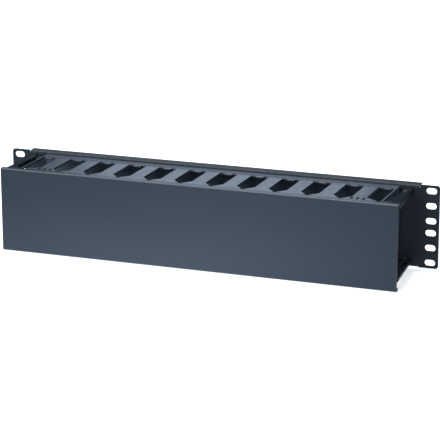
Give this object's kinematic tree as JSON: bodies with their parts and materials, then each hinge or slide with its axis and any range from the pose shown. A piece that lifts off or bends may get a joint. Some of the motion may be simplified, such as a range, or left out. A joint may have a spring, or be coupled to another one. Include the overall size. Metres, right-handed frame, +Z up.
{
  "type": "horizontal cable manager",
  "caption": "Two-unit horizontal cable manager: folded rack panel, slotted finger channel, flared end guides and a hinged front cover hanging on its top lip.",
  "frame": {"origin": "centre of the rack hole pattern, on the back face of the panel's ears", "axes": "+X across the rack to the right seen from the front, +Y to the back of the rack, +Z up"},
  "size_m": [0.4826, 0.0854, 0.0931],
  "materials": {
    "powder_coat": "satin fine-textured black powder coat",
    "moulded_plastic": "satin moulded black plastic",
    "cover_plastic": "satin extruded black plastic",
    "rivet_plastic": "matte black nylon"
  },
  "bodies": {
    "base": {"rack_panel": "powder_coat", "cable_channel": "moulded_plastic", "upper_right_guide": "moulded_plastic", "upper_left_guide": "moulded_plastic", "lower_right_guide": "moulded_plastic", "lower_left_guide": "moulded_plastic", "channel_rivet_upper_1": "rivet_plastic", "channel_rivet_upper_2": "rivet_plastic", "channel_rivet_upper_3": "rivet_plastic", "channel_rivet_upper_4": "rivet_plastic", "guide_rivet_upper_left": "rivet_plastic", "guide_rivet_upper_right": "rivet_plastic", "channel_rivet_lower_1": "rivet_plastic", "channel_rivet_lower_2": "rivet_plastic", "channel_rivet_lower_3": "rivet_plastic", "channel_rivet_lower_4": "rivet_plastic", "guide_rivet_lower_left": "rivet_plastic", "guide_rivet_lower_right": "rivet_plastic"},
    "cover": {"front_cover": "cover_plastic"}
  },
  "joints": [
    {"name": "cover_hinge", "type": "hinge", "parent": "base", "child": "cover", "pos_m": [0, -0.07225, 0.03915], "axis": [-1, 0, 0], "range_deg": [0, 95]}
  ]
}
